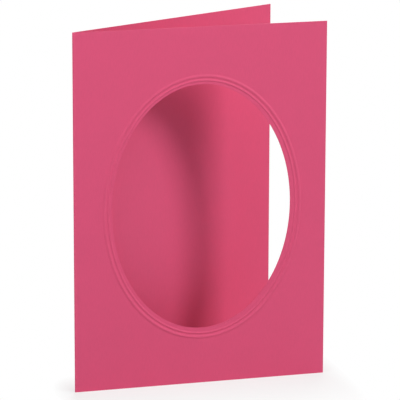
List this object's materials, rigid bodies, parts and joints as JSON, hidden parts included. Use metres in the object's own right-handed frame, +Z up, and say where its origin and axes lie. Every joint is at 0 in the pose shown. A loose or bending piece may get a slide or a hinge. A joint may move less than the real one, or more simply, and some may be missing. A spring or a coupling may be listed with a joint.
{
  "type": "passe-partout card",
  "caption": "Folded window card of dyed card stock, standing slightly opened, with an oval window edged by pressed raised lines.",
  "frame": {"origin": "on the surface that the card stands on, under the middle of the standing card's bounding box", "axes": "+Z up the card; +X from the fold to the free edge of the front leaf; +Y from the front leaf to the back leaf, so the windowed leaf faces -Y"},
  "size_m": [0.12, 0.0518, 0.168],
  "materials": {
    "dyed_card": "smooth matt, dyed through in pink"
  },
  "bodies": {
    "root": {"folded_card": "dyed_card"}
  },
  "joints": []
}
